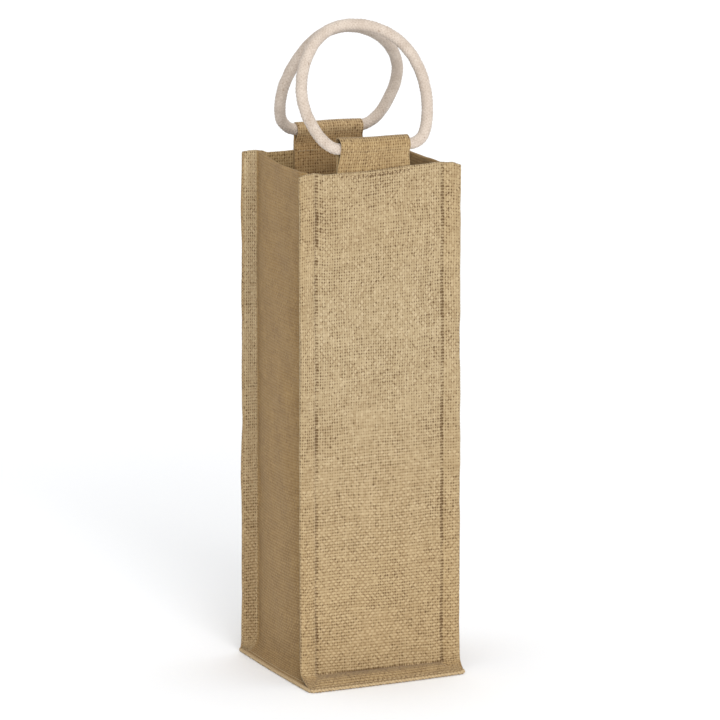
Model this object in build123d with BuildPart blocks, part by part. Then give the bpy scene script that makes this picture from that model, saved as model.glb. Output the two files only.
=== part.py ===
from build123d import *
from math import cos, radians, sin, tan
import os

# Wine gift bag of natural jute: four walls and a base sewn together with stand-up seams,
# and two rope rings that swing in jute tabs. Millimetres, +Z up, the front faces -Y,
# and the origin is on the floor under the middle of the bag.

# Body
BAG_HEIGHT = 350.0          # floor to rim
BODY_WIDTH = 92.0           # between the two seams of the front panel
BAG_DEPTH = 97.0            # outside of the front panel to outside of the back panel
CLOTH = 1.2                 # jute with its laminated film
FLANGE = 13.0               # stand-up edge outside each vertical seam
GUSSET_SWELL = 7.0          # how far a side wall bows out between its seams
HEM_DEPTH = 18.0            # rim folded down inside the front and back panels

# Skirt round the foot
SKIRT_HALF_X = 61.0
SKIRT_HALF_Y = 60.5
SKIRT_PITCH = 29.6          # degrees down from level
SKIRT_LIP = 2.8             # flat outer edge that rests on the floor
BASE_TOP = 7.1              # top of the base panel inside the bag

# Tabs
TAB_WIDTH = 52.0
TAB_LEG = 22.0              # length sewn inside the panel, below the rim
FOLD_GAP = 0.3              # between a tab's sewn leg and its free loop

# Rope rings
ROPE_DIAMETER = 8.0
CORE_DIAMETER = 5.0
CORE_CLEARANCE = 0.1
SWING_CLEARANCE = 0.3       # between the rope and the tunnel it swings in
EXIT_RADIUS = 8.0           # bend of the rope where it leaves the tab
EXIT_TURN = 48.0            # degrees
TUNNEL_RUN = TAB_WIDTH / 2 + 0.3
SPLICE_LENGTH = 20.0
CORE_END_GAP = 2.0

# Front and back handles differ a little, as sewn. offset: middle of the tab along X.
# tunnel: height of the rope's tunnel above the rim. half_width and rise: from the middle of
# the tunnel to the rope's middle line at the ring's side and top. lean: degrees over the mouth.
HANDLES = {
    "front": {"side": -1, "offset": -3.0, "tunnel": 15.2, "half_width": 45.4, "rise": 85.0, "lean": 27.0},
    "back": {"side": 1, "offset": 3.5, "tunnel": 12.4, "half_width": 44.2, "rise": 80.5, "lean": 22.5},
}

# Sewing thread
THREAD = 0.7
THREAD_PROUD = 0.4          # how far a stitch stands off the cloth
STITCH = 2.6
STITCH_PITCH = 3.5
TAB_STITCH_PITCH = 3.0
SEAM_INSET = 1.5            # stitches to the fold beside them
TAB_SEAM_DROP = 2.5         # tab stitches below the rim
SKIRT_SEAM_INSET = 4.5      # stitches to the outer edge of the skirt

# Worked out
BODY_HALF_Y = BAG_DEPTH / 2
SEAM_X = BODY_WIDTH / 2
EDGE_X = SEAM_X + FLANGE
PANEL_INNER_Y = BODY_HALF_Y - CLOTH
HEM_INNER_Y = PANEL_INNER_Y - CLOTH
TAB_INNER_Y = HEM_INNER_Y - 2 * CLOTH
TAB_MID_Y = (HEM_INNER_Y + TAB_INNER_Y) / 2
SKIRT_SLOPE = tan(radians(SKIRT_PITCH))
SKIRT_STEP = CLOTH * tan(radians(SKIRT_PITCH) / 2)
TUNNEL_RADIUS = ROPE_DIAMETER / 2 + SWING_CLEARANCE
ROPE_RADIUS = ROPE_DIAMETER / 2
COVER_BORE = CORE_DIAMETER / 2 + CORE_CLEARANCE


def skirt_block(layers):
    """The block under the skirt's sloping face, counted in layers of cloth off the floor."""
    lift = layers * CLOTH
    slope_half_x = SKIRT_HALF_X - SKIRT_LIP + layers * SKIRT_STEP
    slope_half_y = SKIRT_HALF_Y - SKIRT_LIP + layers * SKIRT_STEP
    top = BASE_TOP + (layers - 1) * CLOTH
    with BuildPart() as block:
        if layers:
            with BuildSketch():
                Rectangle(2 * SKIRT_HALF_X, 2 * SKIRT_HALF_Y)
            extrude(amount=lift)
        with BuildSketch(Plane.XY.offset(lift)):
            Rectangle(2 * slope_half_x, 2 * slope_half_y)
        extrude(amount=top - lift, taper=90 - SKIRT_PITCH)
    return block.part


def inside_outline():
    """A closed line on the inner faces of the panels and the gussets."""
    half_x = SEAM_X - CLOTH / 2
    with BuildLine() as outline:
        Line((half_x, -PANEL_INNER_Y), (-half_x, -PANEL_INNER_Y))
        ThreePointArc(
            (-half_x, -PANEL_INNER_Y),
            (-half_x - GUSSET_SWELL, 0),
            (-half_x, PANEL_INNER_Y),
        )
        Line((-half_x, PANEL_INNER_Y), (half_x, PANEL_INNER_Y))
        ThreePointArc(
            (half_x, PANEL_INNER_Y),
            (half_x + GUSSET_SWELL, 0),
            (half_x, -PANEL_INNER_Y),
        )
    return outline.line


UNDER_BASE = skirt_block(0)
UNDER_WALLS = skirt_block(1)
UNDER_TOP = skirt_block(2)


def skirt_layer(side_x, side_y):
    """The sloping foot of one wall, mitred at the corners, outside the bag's inside."""
    reach_x = SKIRT_HALF_X
    reach_y = SKIRT_HALF_Y
    across = reach_x if side_y else reach_y
    with BuildPart() as layer:
        with BuildSketch():
            with BuildLine():
                if side_y:
                    Polyline(
                        (-across, side_y * reach_y),
                        (across, side_y * reach_y),
                        (across - reach_y, 0),
                        (reach_y - across, 0),
                        close=True,
                    )
                else:
                    Polyline(
                        (side_x * reach_x, -across),
                        (side_x * (reach_x - reach_y), 0),
                        (side_x * reach_x, across),
                        close=True,
                    )
            make_face()
        extrude(amount=BASE_TOP + 2 * CLOTH)
        with BuildSketch():
            with BuildLine():
                add(inside_outline())
            make_face()
        extrude(amount=BASE_TOP + 2 * CLOTH, mode=Mode.SUBTRACT)
        add(UNDER_TOP, mode=Mode.INTERSECT)
        add(UNDER_WALLS, mode=Mode.SUBTRACT)
    return layer.part


def wall_panel(side):
    """Front or back panel: a flat cut as wide as both stand-up edges, hemmed at the rim."""
    with BuildPart() as panel:
        with BuildSketch():
            with Locations((0, side * (BODY_HALF_Y - CLOTH / 2))):
                Rectangle(2 * EDGE_X, CLOTH)
        extrude(amount=BAG_HEIGHT)
        with BuildSketch(Plane.XY.offset(BAG_HEIGHT - HEM_DEPTH)):
            with Locations((0, side * (PANEL_INNER_Y - CLOTH / 2))):
                Rectangle(BODY_WIDTH - 2 * CLOTH, CLOTH)
        extrude(amount=HEM_DEPTH)
        add(UNDER_TOP, mode=Mode.SUBTRACT)
        add(skirt_layer(0, side))
    return panel.part


def gusset(side):
    """Side wall: bowed cloth between two edges that lie behind the panels' edges."""
    wall_x = SEAM_X - CLOTH / 2
    with BuildPart() as wall:
        with BuildSketch():
            with BuildLine():
                Polyline(
                    (side * wall_x, -PANEL_INNER_Y),
                    (side * EDGE_X, -PANEL_INNER_Y),
                    (side * EDGE_X, -HEM_INNER_Y),
                    (side * (wall_x + CLOTH), -HEM_INNER_Y),
                )
                ThreePointArc(
                    (side * (wall_x + CLOTH), -HEM_INNER_Y),
                    (side * (wall_x + CLOTH + GUSSET_SWELL), 0),
                    (side * (wall_x + CLOTH), HEM_INNER_Y),
                )
                Polyline(
                    (side * (wall_x + CLOTH), HEM_INNER_Y),
                    (side * EDGE_X, HEM_INNER_Y),
                    (side * EDGE_X, PANEL_INNER_Y),
                    (side * wall_x, PANEL_INNER_Y),
                )
                ThreePointArc(
                    (side * wall_x, PANEL_INNER_Y),
                    (side * (wall_x + GUSSET_SWELL), 0),
                    (side * wall_x, -PANEL_INNER_Y),
                )
            make_face()
        extrude(amount=BAG_HEIGHT)
        add(UNDER_TOP, mode=Mode.SUBTRACT)
        add(skirt_layer(side, 0))
    return wall.part


def base():
    """Base panel: flat inside the bag, its edges sloping down under the walls' feet."""
    with BuildPart() as panel:
        add(UNDER_WALLS)
        add(UNDER_BASE, mode=Mode.SUBTRACT)
    return panel.part


def spaced(length, pitch):
    """Centres of a row of stitches along a length, half of them each side of its middle."""
    count = int(length // pitch)
    return [(i - (count - 1) / 2) * pitch for i in range(count)]


def vertical_seam(side_x, side_y):
    """Stitches through a panel's edge and the gusset's edge behind it."""
    foot = BASE_TOP + CLOTH + STITCH_PITCH
    middle = (foot + BAG_HEIGHT) / 2
    depth = 2 * CLOTH + 2 * THREAD_PROUD
    x = side_x * (SEAM_X + SEAM_INSET)
    y = side_y * (BODY_HALF_Y - CLOTH)
    places = [(x, y, middle + step) for step in spaced(BAG_HEIGHT - foot, STITCH_PITCH)]
    with BuildPart() as thread:
        with Locations(*places):
            Box(THREAD, depth, STITCH)
    return thread.part


def skirt_seam():
    """Stitches round the foot, through the walls' feet and the edge of the base panel."""
    row_x = SKIRT_HALF_X - SKIRT_SEAM_INSET
    row_y = SKIRT_HALF_Y - SKIRT_SEAM_INSET
    bottom = THREAD_PROUD
    top = (SKIRT_SEAM_INSET - SKIRT_LIP) * SKIRT_SLOPE + 2 * CLOTH + 2 * THREAD_PROUD
    middle = (bottom + top) / 2
    with BuildPart() as thread:
        for side in (-1, 1):
            along_x = [(x, side * row_y, middle) for x in spaced(2 * row_x, STITCH_PITCH)]
            along_y = [(side * row_x, y, middle) for y in spaced(2 * row_y, STITCH_PITCH)]
            with Locations(*along_x):
                Box(STITCH, THREAD, top - bottom)
            with Locations(*along_y):
                Box(THREAD, STITCH, top - bottom)
    return thread.part


def tab_seam(side, offset):
    """Stitches through the panel, its hem and the tab's leg, just under the rim."""
    outside = BODY_HALF_Y + THREAD_PROUD
    inside = TAB_INNER_Y - THREAD_PROUD
    z = BAG_HEIGHT - TAB_SEAM_DROP
    y = side * (outside + inside) / 2
    places = [(offset + step, y, z) for step in spaced(TAB_WIDTH - 2, TAB_STITCH_PITCH)]
    with BuildPart() as thread:
        with Locations(*places):
            Box(TAB_STITCH_PITCH - 0.9, outside - inside, THREAD)
    return thread.part


def tab_leg(side, offset):
    """The two layers of a tab that are sewn inside the panel."""
    with BuildPart() as leg:
        with BuildSketch(Plane.XY.offset(BAG_HEIGHT - TAB_LEG)):
            with Locations((offset, side * TAB_MID_Y)):
                Rectangle(TAB_WIDTH, 2 * CLOTH)
        extrude(amount=TAB_LEG)
    return leg.part


def tab_loop(side, offset, tunnel):
    """The free part of a tab: two layers that part to go round the rope."""
    foot = BAG_HEIGHT + FOLD_GAP
    middle = BAG_HEIGHT + tunnel
    section = Plane(
        origin=(offset - TAB_WIDTH / 2, side * TAB_MID_Y, middle),
        x_dir=(0, 1, 0),
        z_dir=(1, 0, 0),
    )
    with BuildPart() as loop:
        with BuildSketch(section):
            with Locations((0, (foot - middle) / 2)):
                Rectangle(2 * CLOTH, middle - foot)
            Circle(TUNNEL_RADIUS + CLOTH)
            Circle(TUNNEL_RADIUS, mode=Mode.SUBTRACT)
        extrude(amount=TAB_WIDTH)
    return loop.part


def ring_plane(side, offset, tunnel, lean):
    """The plane that a ring lies in: X along the tunnel, Y up the ring."""
    lean = radians(lean)
    along = Vector(1, 0, 0)
    up = Vector(0, -side * sin(lean), cos(lean))
    origin = (offset, side * TAB_MID_Y, BAG_HEIGHT + tunnel)
    return Plane(origin=origin, x_dir=along, z_dir=along.cross(up))


def ring_path(plane, half_width, rise, start):
    """The rope's middle line, from start on the tunnel's axis round to the other side."""
    turn = radians(EXIT_TURN)
    side_turn = 90 - EXIT_TURN
    side_span = half_width - TUNNEL_RUN - EXIT_RADIUS * sin(turn)
    side_radius = side_span / (1 - sin(turn))
    shoulder = EXIT_RADIUS * (1 - cos(turn)) + side_radius * cos(turn)
    crown = rise - half_width
    leave_x = TUNNEL_RUN + EXIT_RADIUS * sin(turn)
    leave_y = EXIT_RADIUS * (1 - cos(turn))
    with BuildLine(plane) as path:
        Line((start, 0), (TUNNEL_RUN, 0))
        JernArc((TUNNEL_RUN, 0), (1, 0), EXIT_RADIUS, EXIT_TURN)
        JernArc((leave_x, leave_y), (cos(turn), sin(turn)), side_radius, side_turn)
        Line((half_width, shoulder), (half_width, crown))
        JernArc((half_width, crown), (0, 1), half_width, 180)
        Line((-half_width, crown), (-half_width, shoulder))
        JernArc((-half_width, shoulder), (0, -1), side_radius, side_turn)
        JernArc((-leave_x, leave_y), (cos(turn), -sin(turn)), EXIT_RADIUS, EXIT_TURN)
        Line((-TUNNEL_RUN, 0), (-start, 0))
    return path.line


def ring_tube(path, outer, inner):
    """Rope, or the cover of it, along the ring."""
    with BuildPart() as tube:
        with BuildSketch(Plane(origin=path @ 0, z_dir=path % 0)):
            Circle(outer)
            if inner:
                Circle(inner, mode=Mode.SUBTRACT)
        sweep(path=path)
    return tube.part


def splice(side, offset, tunnel):
    """The wrap that joins the two ends of a ring's cover, hidden in the tab."""
    middle = (offset - SPLICE_LENGTH / 2, side * TAB_MID_Y, BAG_HEIGHT + tunnel)
    with BuildPart() as wrap:
        with BuildSketch(Plane(origin=middle, z_dir=(1, 0, 0))):
            Circle(ROPE_RADIUS)
            Circle(COVER_BORE, mode=Mode.SUBTRACT)
        extrude(amount=SPLICE_LENGTH)
    return wrap.part


def write(name, part):
    part.label = name
    export_step(part, f"parts/{name}.step")


os.makedirs("parts", exist_ok=True)

with BuildPart() as front_panel:
    add(wall_panel(-1))
write("front_panel", front_panel.part)

with BuildPart() as back_panel:
    add(wall_panel(1))
write("back_panel", back_panel.part)

with BuildPart() as left_gusset:
    add(gusset(-1))
write("left_gusset", left_gusset.part)

with BuildPart() as right_gusset:
    add(gusset(1))
write("right_gusset", right_gusset.part)

with BuildPart() as base_panel:
    add(base())
write("base_panel", base_panel.part)

with BuildPart() as skirt_seam_thread:
    add(skirt_seam())
write("skirt_seam_thread", skirt_seam_thread.part)

for face, side_y in (("front", -1), ("back", 1)):
    for hand, side_x in (("left", -1), ("right", 1)):
        write(f"{face}_{hand}_seam_thread", vertical_seam(side_x, side_y))

for face, handle in HANDLES.items():
    side = handle["side"]
    offset = handle["offset"]
    tunnel = handle["tunnel"]
    plane = ring_plane(side, offset, tunnel, handle["lean"])
    cover_path = ring_path(plane, handle["half_width"], handle["rise"], SPLICE_LENGTH / 2)
    core_path = ring_path(plane, handle["half_width"], handle["rise"], CORE_END_GAP / 2)
    cover = ring_tube(cover_path, ROPE_RADIUS, COVER_BORE)
    core = ring_tube(core_path, CORE_DIAMETER / 2, 0)
    write(f"{face}_tab_leg", tab_leg(side, offset))
    write(f"{face}_tab_loop", tab_loop(side, offset, tunnel))
    write(f"{face}_tab_thread", tab_seam(side, offset))
    write(f"{face}_rope_cover", cover)
    write(f"{face}_rope_core", core)
    write(f"{face}_rope_splice", splice(side, offset, tunnel))
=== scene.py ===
import bpy
import math
import numpy as np
from mathutils import Matrix, Vector


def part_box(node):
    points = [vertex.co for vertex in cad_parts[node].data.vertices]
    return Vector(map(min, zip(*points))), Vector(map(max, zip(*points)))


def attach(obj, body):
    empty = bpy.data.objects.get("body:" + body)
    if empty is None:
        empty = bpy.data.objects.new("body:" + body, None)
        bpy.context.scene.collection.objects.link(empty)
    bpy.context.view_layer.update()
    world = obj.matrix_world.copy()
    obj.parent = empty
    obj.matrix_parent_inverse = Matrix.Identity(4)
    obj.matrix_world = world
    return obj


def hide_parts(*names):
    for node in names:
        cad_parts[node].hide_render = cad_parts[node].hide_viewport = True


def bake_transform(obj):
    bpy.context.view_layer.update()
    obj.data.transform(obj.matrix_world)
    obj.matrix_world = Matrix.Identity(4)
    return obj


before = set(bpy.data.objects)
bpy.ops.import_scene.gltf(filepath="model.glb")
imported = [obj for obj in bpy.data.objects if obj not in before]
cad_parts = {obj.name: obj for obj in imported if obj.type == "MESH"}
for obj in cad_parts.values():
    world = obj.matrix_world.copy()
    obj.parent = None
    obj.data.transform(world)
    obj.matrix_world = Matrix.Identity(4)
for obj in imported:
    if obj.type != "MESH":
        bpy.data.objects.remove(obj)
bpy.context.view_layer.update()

# Wine gift bag of natural jute with two rope ring handles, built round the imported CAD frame.
# Lengths are in millimetres until a mesh is written, and +Z is up with the front facing -Y.

MM = 0.001


def mm_box(node):
    """A CAD node's lowest and highest corners in millimetres."""
    low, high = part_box(node)
    return np.array([list(low), list(high)]) / MM


# Sizes read from the frame, with the cloth and thread sizes of the CAD
CLOTH = 1.2
THREAD_PROUD = 0.4
SEAM_INSET = 1.5
SEAM_LINE = 0.2
RIM = mm_box("left_gusset")[1][2]
WALL_Y = -mm_box("front_left_seam_thread")[0][1] - THREAD_PROUD
SEAM_X = mm_box("front_right_seam_thread").mean(axis=0)[0] - SEAM_INSET
FLANGE = 13.0
EDGE_X = SEAM_X + FLANGE
FOOT_X = mm_box("base_panel")[1][0]
STITCH_PITCH = 3.5
STITCH = 2.6
TAB_STITCH_PITCH = 3.0
TAB_STITCH = 2.1
TAB_SEAM_DROP = 2.5
TUNNEL_RADIUS = 4.3

# The bag's two ends, and which way along Y each faces
ENDS = (("front", -1), ("back", 1))

# Weave: distance between yarns across and up the bag, and the cloth's own thickness
WARP = 1.75
WEFT = 2.05
SHELL = 0.95

# Foot of the bag: height of its fold and of its lip, how far each side stands out of the
# wall, how softly the walls and their stand-up edges bend there, and the length of cloth
# that the foot takes at the front (-1) and the back (1)
FOLD_Z = 5.4
LIP_Z = 1.5
FRONT_STAND = 19.4
FRONT_STAND_SKEW = 3.6
FRONT_STAND_BOW = 1.2
BACK_STAND = 6.0
FRONT_RIGHT_TUCK = -4.8
FOLD_SOFT = 0.35
PANEL_REACH = {-1: 20.2, 1: 7.2}
FLANGE_SOFT = 3.2

# Rim
FOLD_RADIUS = 1.2
HEM = 17.0

# Stand-up edges
CURL_RADIUS = 1.5
CURL_START = SEAM_X + 11.6
CURL_TURN = 2.7
CURL_END = CURL_START + CURL_TURN * CURL_RADIUS


def smooth(value, low, high):
    """0 below low, 1 above high, and an even ease between them."""
    share = np.clip((value - low) / (high - low), 0, 1)
    return share * share * (3 - 2 * share)


def soft_ramp(value, width):
    """value where it is well above 0, nothing where it is well below, rounded over width."""
    return width * np.logaddexp(0, value / width)


def bell(value, middle, width):
    """1 at the middle, falling to nothing a few widths away."""
    return np.exp(-(((value - middle) / width) ** 2))


def ripple(seed, a, b, wave, count=6):
    """Smooth seeded unevenness, mostly between -1 and 1, over two coordinates."""
    rng = np.random.default_rng(seed)
    total = 0
    for _ in range(count):
        turn = rng.uniform(0, 2 * math.pi)
        rate = 2 * math.pi / (wave * rng.uniform(0.6, 1.5))
        phase = rng.uniform(0, 2 * math.pi)
        total = total + np.sin(rate * (a * math.cos(turn) + b * math.sin(turn)) + phase)
    return total / math.sqrt(2 * count)


# ---------------------------------------------------------------- meshes


def mesh_object(name, points, faces, weave=None, tone=None):
    """A smooth-shaded mesh from points in millimetres, with its material's coordinates."""
    mesh = bpy.data.meshes.new(name)
    mesh.from_pydata((np.asarray(points) * MM).tolist(), [], faces)
    mesh.update()
    mesh.polygons.foreach_set("use_smooth", np.ones(len(mesh.polygons), bool))
    if weave is not None:
        attribute = mesh.attributes.new("weave", "FLOAT_VECTOR", "POINT")
        attribute.data.foreach_set("vector", np.asarray(weave, np.float32).ravel())
    if tone is not None:
        attribute = mesh.attributes.new("tone", "FLOAT", "POINT")
        attribute.data.foreach_set("value", np.asarray(tone, np.float32).ravel())
    piece = bpy.data.objects.new(name, mesh)
    bpy.context.scene.collection.objects.link(piece)
    return piece


def yarn_lines(rng, low, high, count, pitch):
    """Where the half-pitch lines of the weave lie, a little uneven as spun yarn is."""
    lines = np.linspace(low, high, count + 1)
    uneven = rng.normal(0, 0.035 * pitch, count + 1)
    uneven[:2] = uneven[-2:] = 0
    return lines + uneven


def normals_of(grid, side):
    """Unit normals of a grid of points, on the given side."""
    along_a = np.gradient(grid, axis=0)
    along_b = np.gradient(grid, axis=1)
    across = np.cross(along_a, along_b) * side
    return across / np.maximum(np.linalg.norm(across, axis=2, keepdims=True), 1e-9)


def cloth(
    name, place, across, up, seed, side=1, relief=0.2, shell=SHELL, open_at=None, painted_shade_at=None, keep=()
):
    """A closed shell of plain weave. place gives the outer face's points, and the weave's
    crossings stand out of it and its holes sink into it at every half pitch. open_at says how
    open the weave is, and the function after it how much painted shade darkens the cloth;
    a yarn lies at each keep."""
    rng = np.random.default_rng(seed)
    count_a = 2 * round((across[1] - across[0]) / WARP)
    count_b = 2 * round((up[1] - up[0]) / WEFT)
    lines_a = yarn_lines(rng, across[0], across[1], count_a, WARP)
    lines_b = yarn_lines(rng, up[0], up[1], count_b, WEFT)
    for seam in keep:
        lines_a[np.abs(lines_a - seam).argmin()] = seam
    a, b = np.meshgrid(lines_a, lines_b, indexing="ij")
    inside = np.minimum(np.minimum(a - across[0], across[1] - a), np.minimum(b - up[0], up[1] - b))
    loose = smooth(inside, 0, 12)
    for seam in keep:
        loose = loose * (1 - bell(a, seam, 5))
    a = a + loose * 0.45 * ripple(seed + 1, a, b, 55)
    b = b + loose * 0.55 * ripple(seed + 2, a, b, 70)
    grid = place(a, b)
    out = normals_of(grid, side)

    odd_a = (np.arange(count_a + 1) % 2)[:, None]
    odd_b = (np.arange(count_b + 1) % 2)[None, :]
    crossing = (1 - odd_a) * (1 - odd_b)
    hole = odd_a * odd_b
    thick = 1 + 0.16 * (rng.normal(0, 1, (count_a + 1, 1)) + rng.normal(0, 1, (1, count_b + 1)))
    opening = 0.78 + 0.1 * ripple(seed + 3, a, b, 45)
    if open_at is not None:
        opening = np.clip(opening * open_at(a, b), 0.05, 2.4)
    hole = hole * rng.uniform(0.25, 1.25, a.shape)
    uneven = rng.normal(0, 0.12, a.shape)
    sewn_down = 1 - np.clip(opening - 1.1, 0, 0.9)
    height = relief * (0.15 + np.minimum(opening, 1) * 1.05) * (0.55 * crossing * thick - hole + uneven)
    height = height * sewn_down
    outer = grid + out * height[..., None]
    inner = grid[::2, ::2] - out[::2, ::2] * shell

    rows_o, cols_o = a.shape
    rows_i, cols_i = inner.shape[:2]
    at_o = np.arange(rows_o * cols_o).reshape(rows_o, cols_o)
    at_i = np.arange(rows_i * cols_i).reshape(rows_i, cols_i) + rows_o * cols_o
    faces = quads(at_o) + [quad[::-1] for quad in quads(at_i)]
    ring_o, ring_i = rim_of(at_o), rim_of(at_i)
    for k in range(len(ring_i)):
        o0, o1, o2 = (ring_o[(2 * k + step) % len(ring_o)] for step in range(3))
        i0, i1 = ring_i[k], ring_i[(k + 1) % len(ring_i)]
        faces += [(o1, o0, i0), (o2, o1, i1), (o1, i0, i1)]
    if side < 0:
        faces = [tuple(face[::-1]) for face in faces]

    shift = 40 * (seed % 97)
    yarn_a = np.broadcast_to(np.arange(count_a + 1)[:, None] / 2 + shift, a.shape)
    yarn_b = np.broadcast_to(np.arange(count_b + 1)[None, :] / 2 + shift, a.shape)
    weave = np.stack([yarn_a, yarn_b, opening], axis=2)
    points = np.vstack([outer.reshape(-1, 3), inner.reshape(-1, 3)])
    coords = np.vstack([weave.reshape(-1, 3), weave[::2, ::2].reshape(-1, 3)])
    # Painted shade: the tone attribute darkens the outer face as the cloth's shade function says, and
    # the inner face, seen down inside the mouth, by 0.9
    tone = painted_shade_at(a, b) if painted_shade_at is not None else np.zeros(a.shape)
    painted_shades = np.concatenate([tone.ravel(), np.full(inner[..., 0].size, 0.9)])
    return mesh_object(name, points, faces, coords, painted_shades)


def quads(index):
    """The four-sided faces of a grid of point indexes."""
    corners = (index[:-1, :-1], index[1:, :-1], index[1:, 1:], index[:-1, 1:])
    return np.stack([c.ravel() for c in corners], axis=1).tolist()


def rim_of(index):
    """The outside of a grid of indexes, once round."""
    parts = (index[:-1, 0], index[-1, :-1], index[:0:-1, -1], index[0, :0:-1])
    return np.concatenate(parts).tolist()


def tube(points, normal, radii, around, closed=False):
    """A tube along points: its rings' positions, and its faces, with end caps unless closed."""
    points = np.asarray(points)
    if closed:
        tangent = np.roll(points, -1, axis=0) - np.roll(points, 1, axis=0)
    else:
        tangent = np.gradient(points, axis=0)
    tangent = tangent / np.linalg.norm(tangent, axis=1, keepdims=True)
    first = np.broadcast_to(normal, points.shape)
    first = first - (first * tangent).sum(1, keepdims=True) * tangent
    first = first / np.linalg.norm(first, axis=1, keepdims=True)
    second = np.cross(tangent, first)
    turn = 2 * math.pi * np.arange(around) / around
    spokes = first[:, None] * np.cos(turn)[None, :, None]
    spokes = spokes + second[:, None] * np.sin(turn)[None, :, None]
    rings = points[:, None] + spokes * radii[..., None]
    index = np.arange(len(points) * around).reshape(len(points), around)
    index = np.hstack([index, index[:, :1]])
    if closed:
        index = np.vstack([index, index[:1]])
    faces = quads(index)
    if not closed:
        faces += [index[0, :-1].tolist(), index[-1, :-1][::-1].tolist()]
    return rings.reshape(-1, 3), faces


# ---------------------------------------------------------------- shape of the bag


def foot_out(past_fold, soft, reach):
    """Share of the stand-out at the foot, 1 at the outer edge and 0 up the wall."""
    return soft_ramp(-past_fold, soft) / soft_ramp(reach, soft)


def fold_over(rise, top, radius):
    """Height and depth of cloth that runs up a wall, over its rim and down the inside."""
    past = rise - (top - radius)
    round_over = math.pi * radius
    angle = np.clip(past / radius, 0, math.pi)
    depth = radius * (1 - np.cos(angle))
    height = top - radius + radius * np.sin(angle)
    height = np.where(past < 0, rise, height)
    height = np.where(past > round_over, top - radius - (past - round_over), height)
    return height, depth


def rim_height(side, x):
    """Where the rim of the front or back panel lies: a hand-sewn edge is never level."""
    wave = 0.45 * np.sin(x / 11 + side) + 0.35 * np.sin(x / 23 + 1.3)
    droop = (0.9 if side < 0 else 0.3) * smooth(np.abs(x), SEAM_X + 9, SEAM_X + 14)
    if side < 0:
        droop = droop - 0.9 * bell(x, SEAM_X - 2, 8) - 2.0 * smooth(-x, SEAM_X - 8, SEAM_X + 2)
        droop = droop + 0.8 * smooth(x, SEAM_X + 5, SEAM_X + 14)
    dip = 1.5 * (1 - smooth(np.abs(x), SEAM_X - 5, SEAM_X)) if side > 0 else 0
    return RIM - 0.4 + wave - droop - dip + (1.2 * x / EDGE_X if side < 0 else 0)


def front_stand(x):
    """How far the front foot stands out: more at the left, as the bag was set down."""
    share = x / FOOT_X
    return FRONT_STAND - FRONT_STAND_SKEW * share + FRONT_STAND_BOW * (1 - share**2)


def edge_spread(side, hand, z):
    """How far a stand-up edge splays out from the cut width as it nears the floor."""
    low = 1 - z / RIM
    at_left = np.where(side > 0, 0.9 + 1.3 * low, -1.2)
    return np.where(hand < 0, at_left, 0.7)


def panel(side):
    """place function of the front (side -1) or back (side 1) panel, edge to edge."""
    reach = PANEL_REACH[side]
    pitch = math.asin((FOLD_Z - LIP_Z) / reach)

    def place(s, t):
        width = np.abs(s)
        hand = np.sign(s)
        soft = FOLD_SOFT + (FLANGE_SOFT - FOLD_SOFT) * smooth(width, SEAM_X - 3, SEAM_X + 4)
        past = t - reach
        lean = foot_out(past, soft, reach)
        rise = FOLD_Z + past + (1 - math.sin(pitch)) * soft_ramp(-past, soft)
        top = rim_height(side, s)
        rise = np.where(past > 30, rise + (top - RIM) * smooth(past, 200, 335), rise)
        radius = FOLD_RADIUS * (1 - 0.62 * smooth(width, SEAM_X + 7, SEAM_X + 13))
        z, depth = fold_over(rise, top, radius)

        curl = np.clip((width - CURL_START) / CURL_RADIUS, 0, CURL_TURN)
        x = hand * (np.minimum(width, CURL_START) + (CURL_RADIUS - depth) * np.sin(curl))
        back = CURL_RADIUS * (1 - np.cos(curl)) + depth * np.cos(curl)

        # The stitches pull a groove along the seam, and the edge puffs out beside it
        stand = front_stand(x) if side < 0 else BACK_STAND
        grip = (0.88 + 0.12 * np.cos(2 * math.pi * z / STITCH_PITCH)) * (1 - smooth(lean, 0.02, 0.2))
        flat = 1 - smooth(depth, 0, 1.5)
        groove = 0.95 * grip * bell(width, SEAM_X + SEAM_LINE, 0.6) * flat
        puff = 0.75 * smooth(width, SEAM_X + 0.6, SEAM_X + 4)
        puff = puff * (1 - 0.7 * smooth(width, SEAM_X + 9, SEAM_X + 12))
        # The wall sways and its outer edge wanders, but not at the floor and less at the rim
        sway = 0.55 * ripple(31 + side, s, z, 75) + 0.3 * ripple(41 + side, s, z, 24)
        wander = 0.45 * ripple(51 + side, 0 * s, z, 60) * smooth(width, SEAM_X + 3, SEAM_X + 12)
        calm = smooth(z, 6, 26) * (0.35 + 0.65 * smooth(RIM - z, 0, 30))
        y = WALL_Y + stand * lean + calm * sway - groove + puff * (1 - lean) - back
        x = x + hand * edge_spread(side, hand, z) * smooth(width, SEAM_X + 1, EDGE_X) * (1 - lean)
        foot_x = FOOT_X + np.where(hand < 0, -1.0, FRONT_RIGHT_TUCK if side < 0 else -0.6)
        x = x + hand * (foot_x - EDGE_X) * lean * smooth(width, SEAM_X - 20, SEAM_X + 12)
        x = x + hand * wander * calm
        return np.stack([x, side * y, z], axis=-1)

    length = reach + RIM - FOLD_Z - FOLD_RADIUS + math.pi * FOLD_RADIUS + HEM
    return place, (-CURL_END, CURL_END), (0, length)


# Gusset: where its seams lie, half its width between them, and the cloth past them
GUSSET_Y = WALL_Y - 3.1
GUSSET_RUN = 48.0
GUSSET_REACH = 14.5
GUSSET_FLANGE = 12.2
GUSSET_X = SEAM_X + 0.5
GUSSET_HEM = 10.0
GUSSET_FOLD_RADIUS = 1.05
BASE_HALF = 60.0


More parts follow.
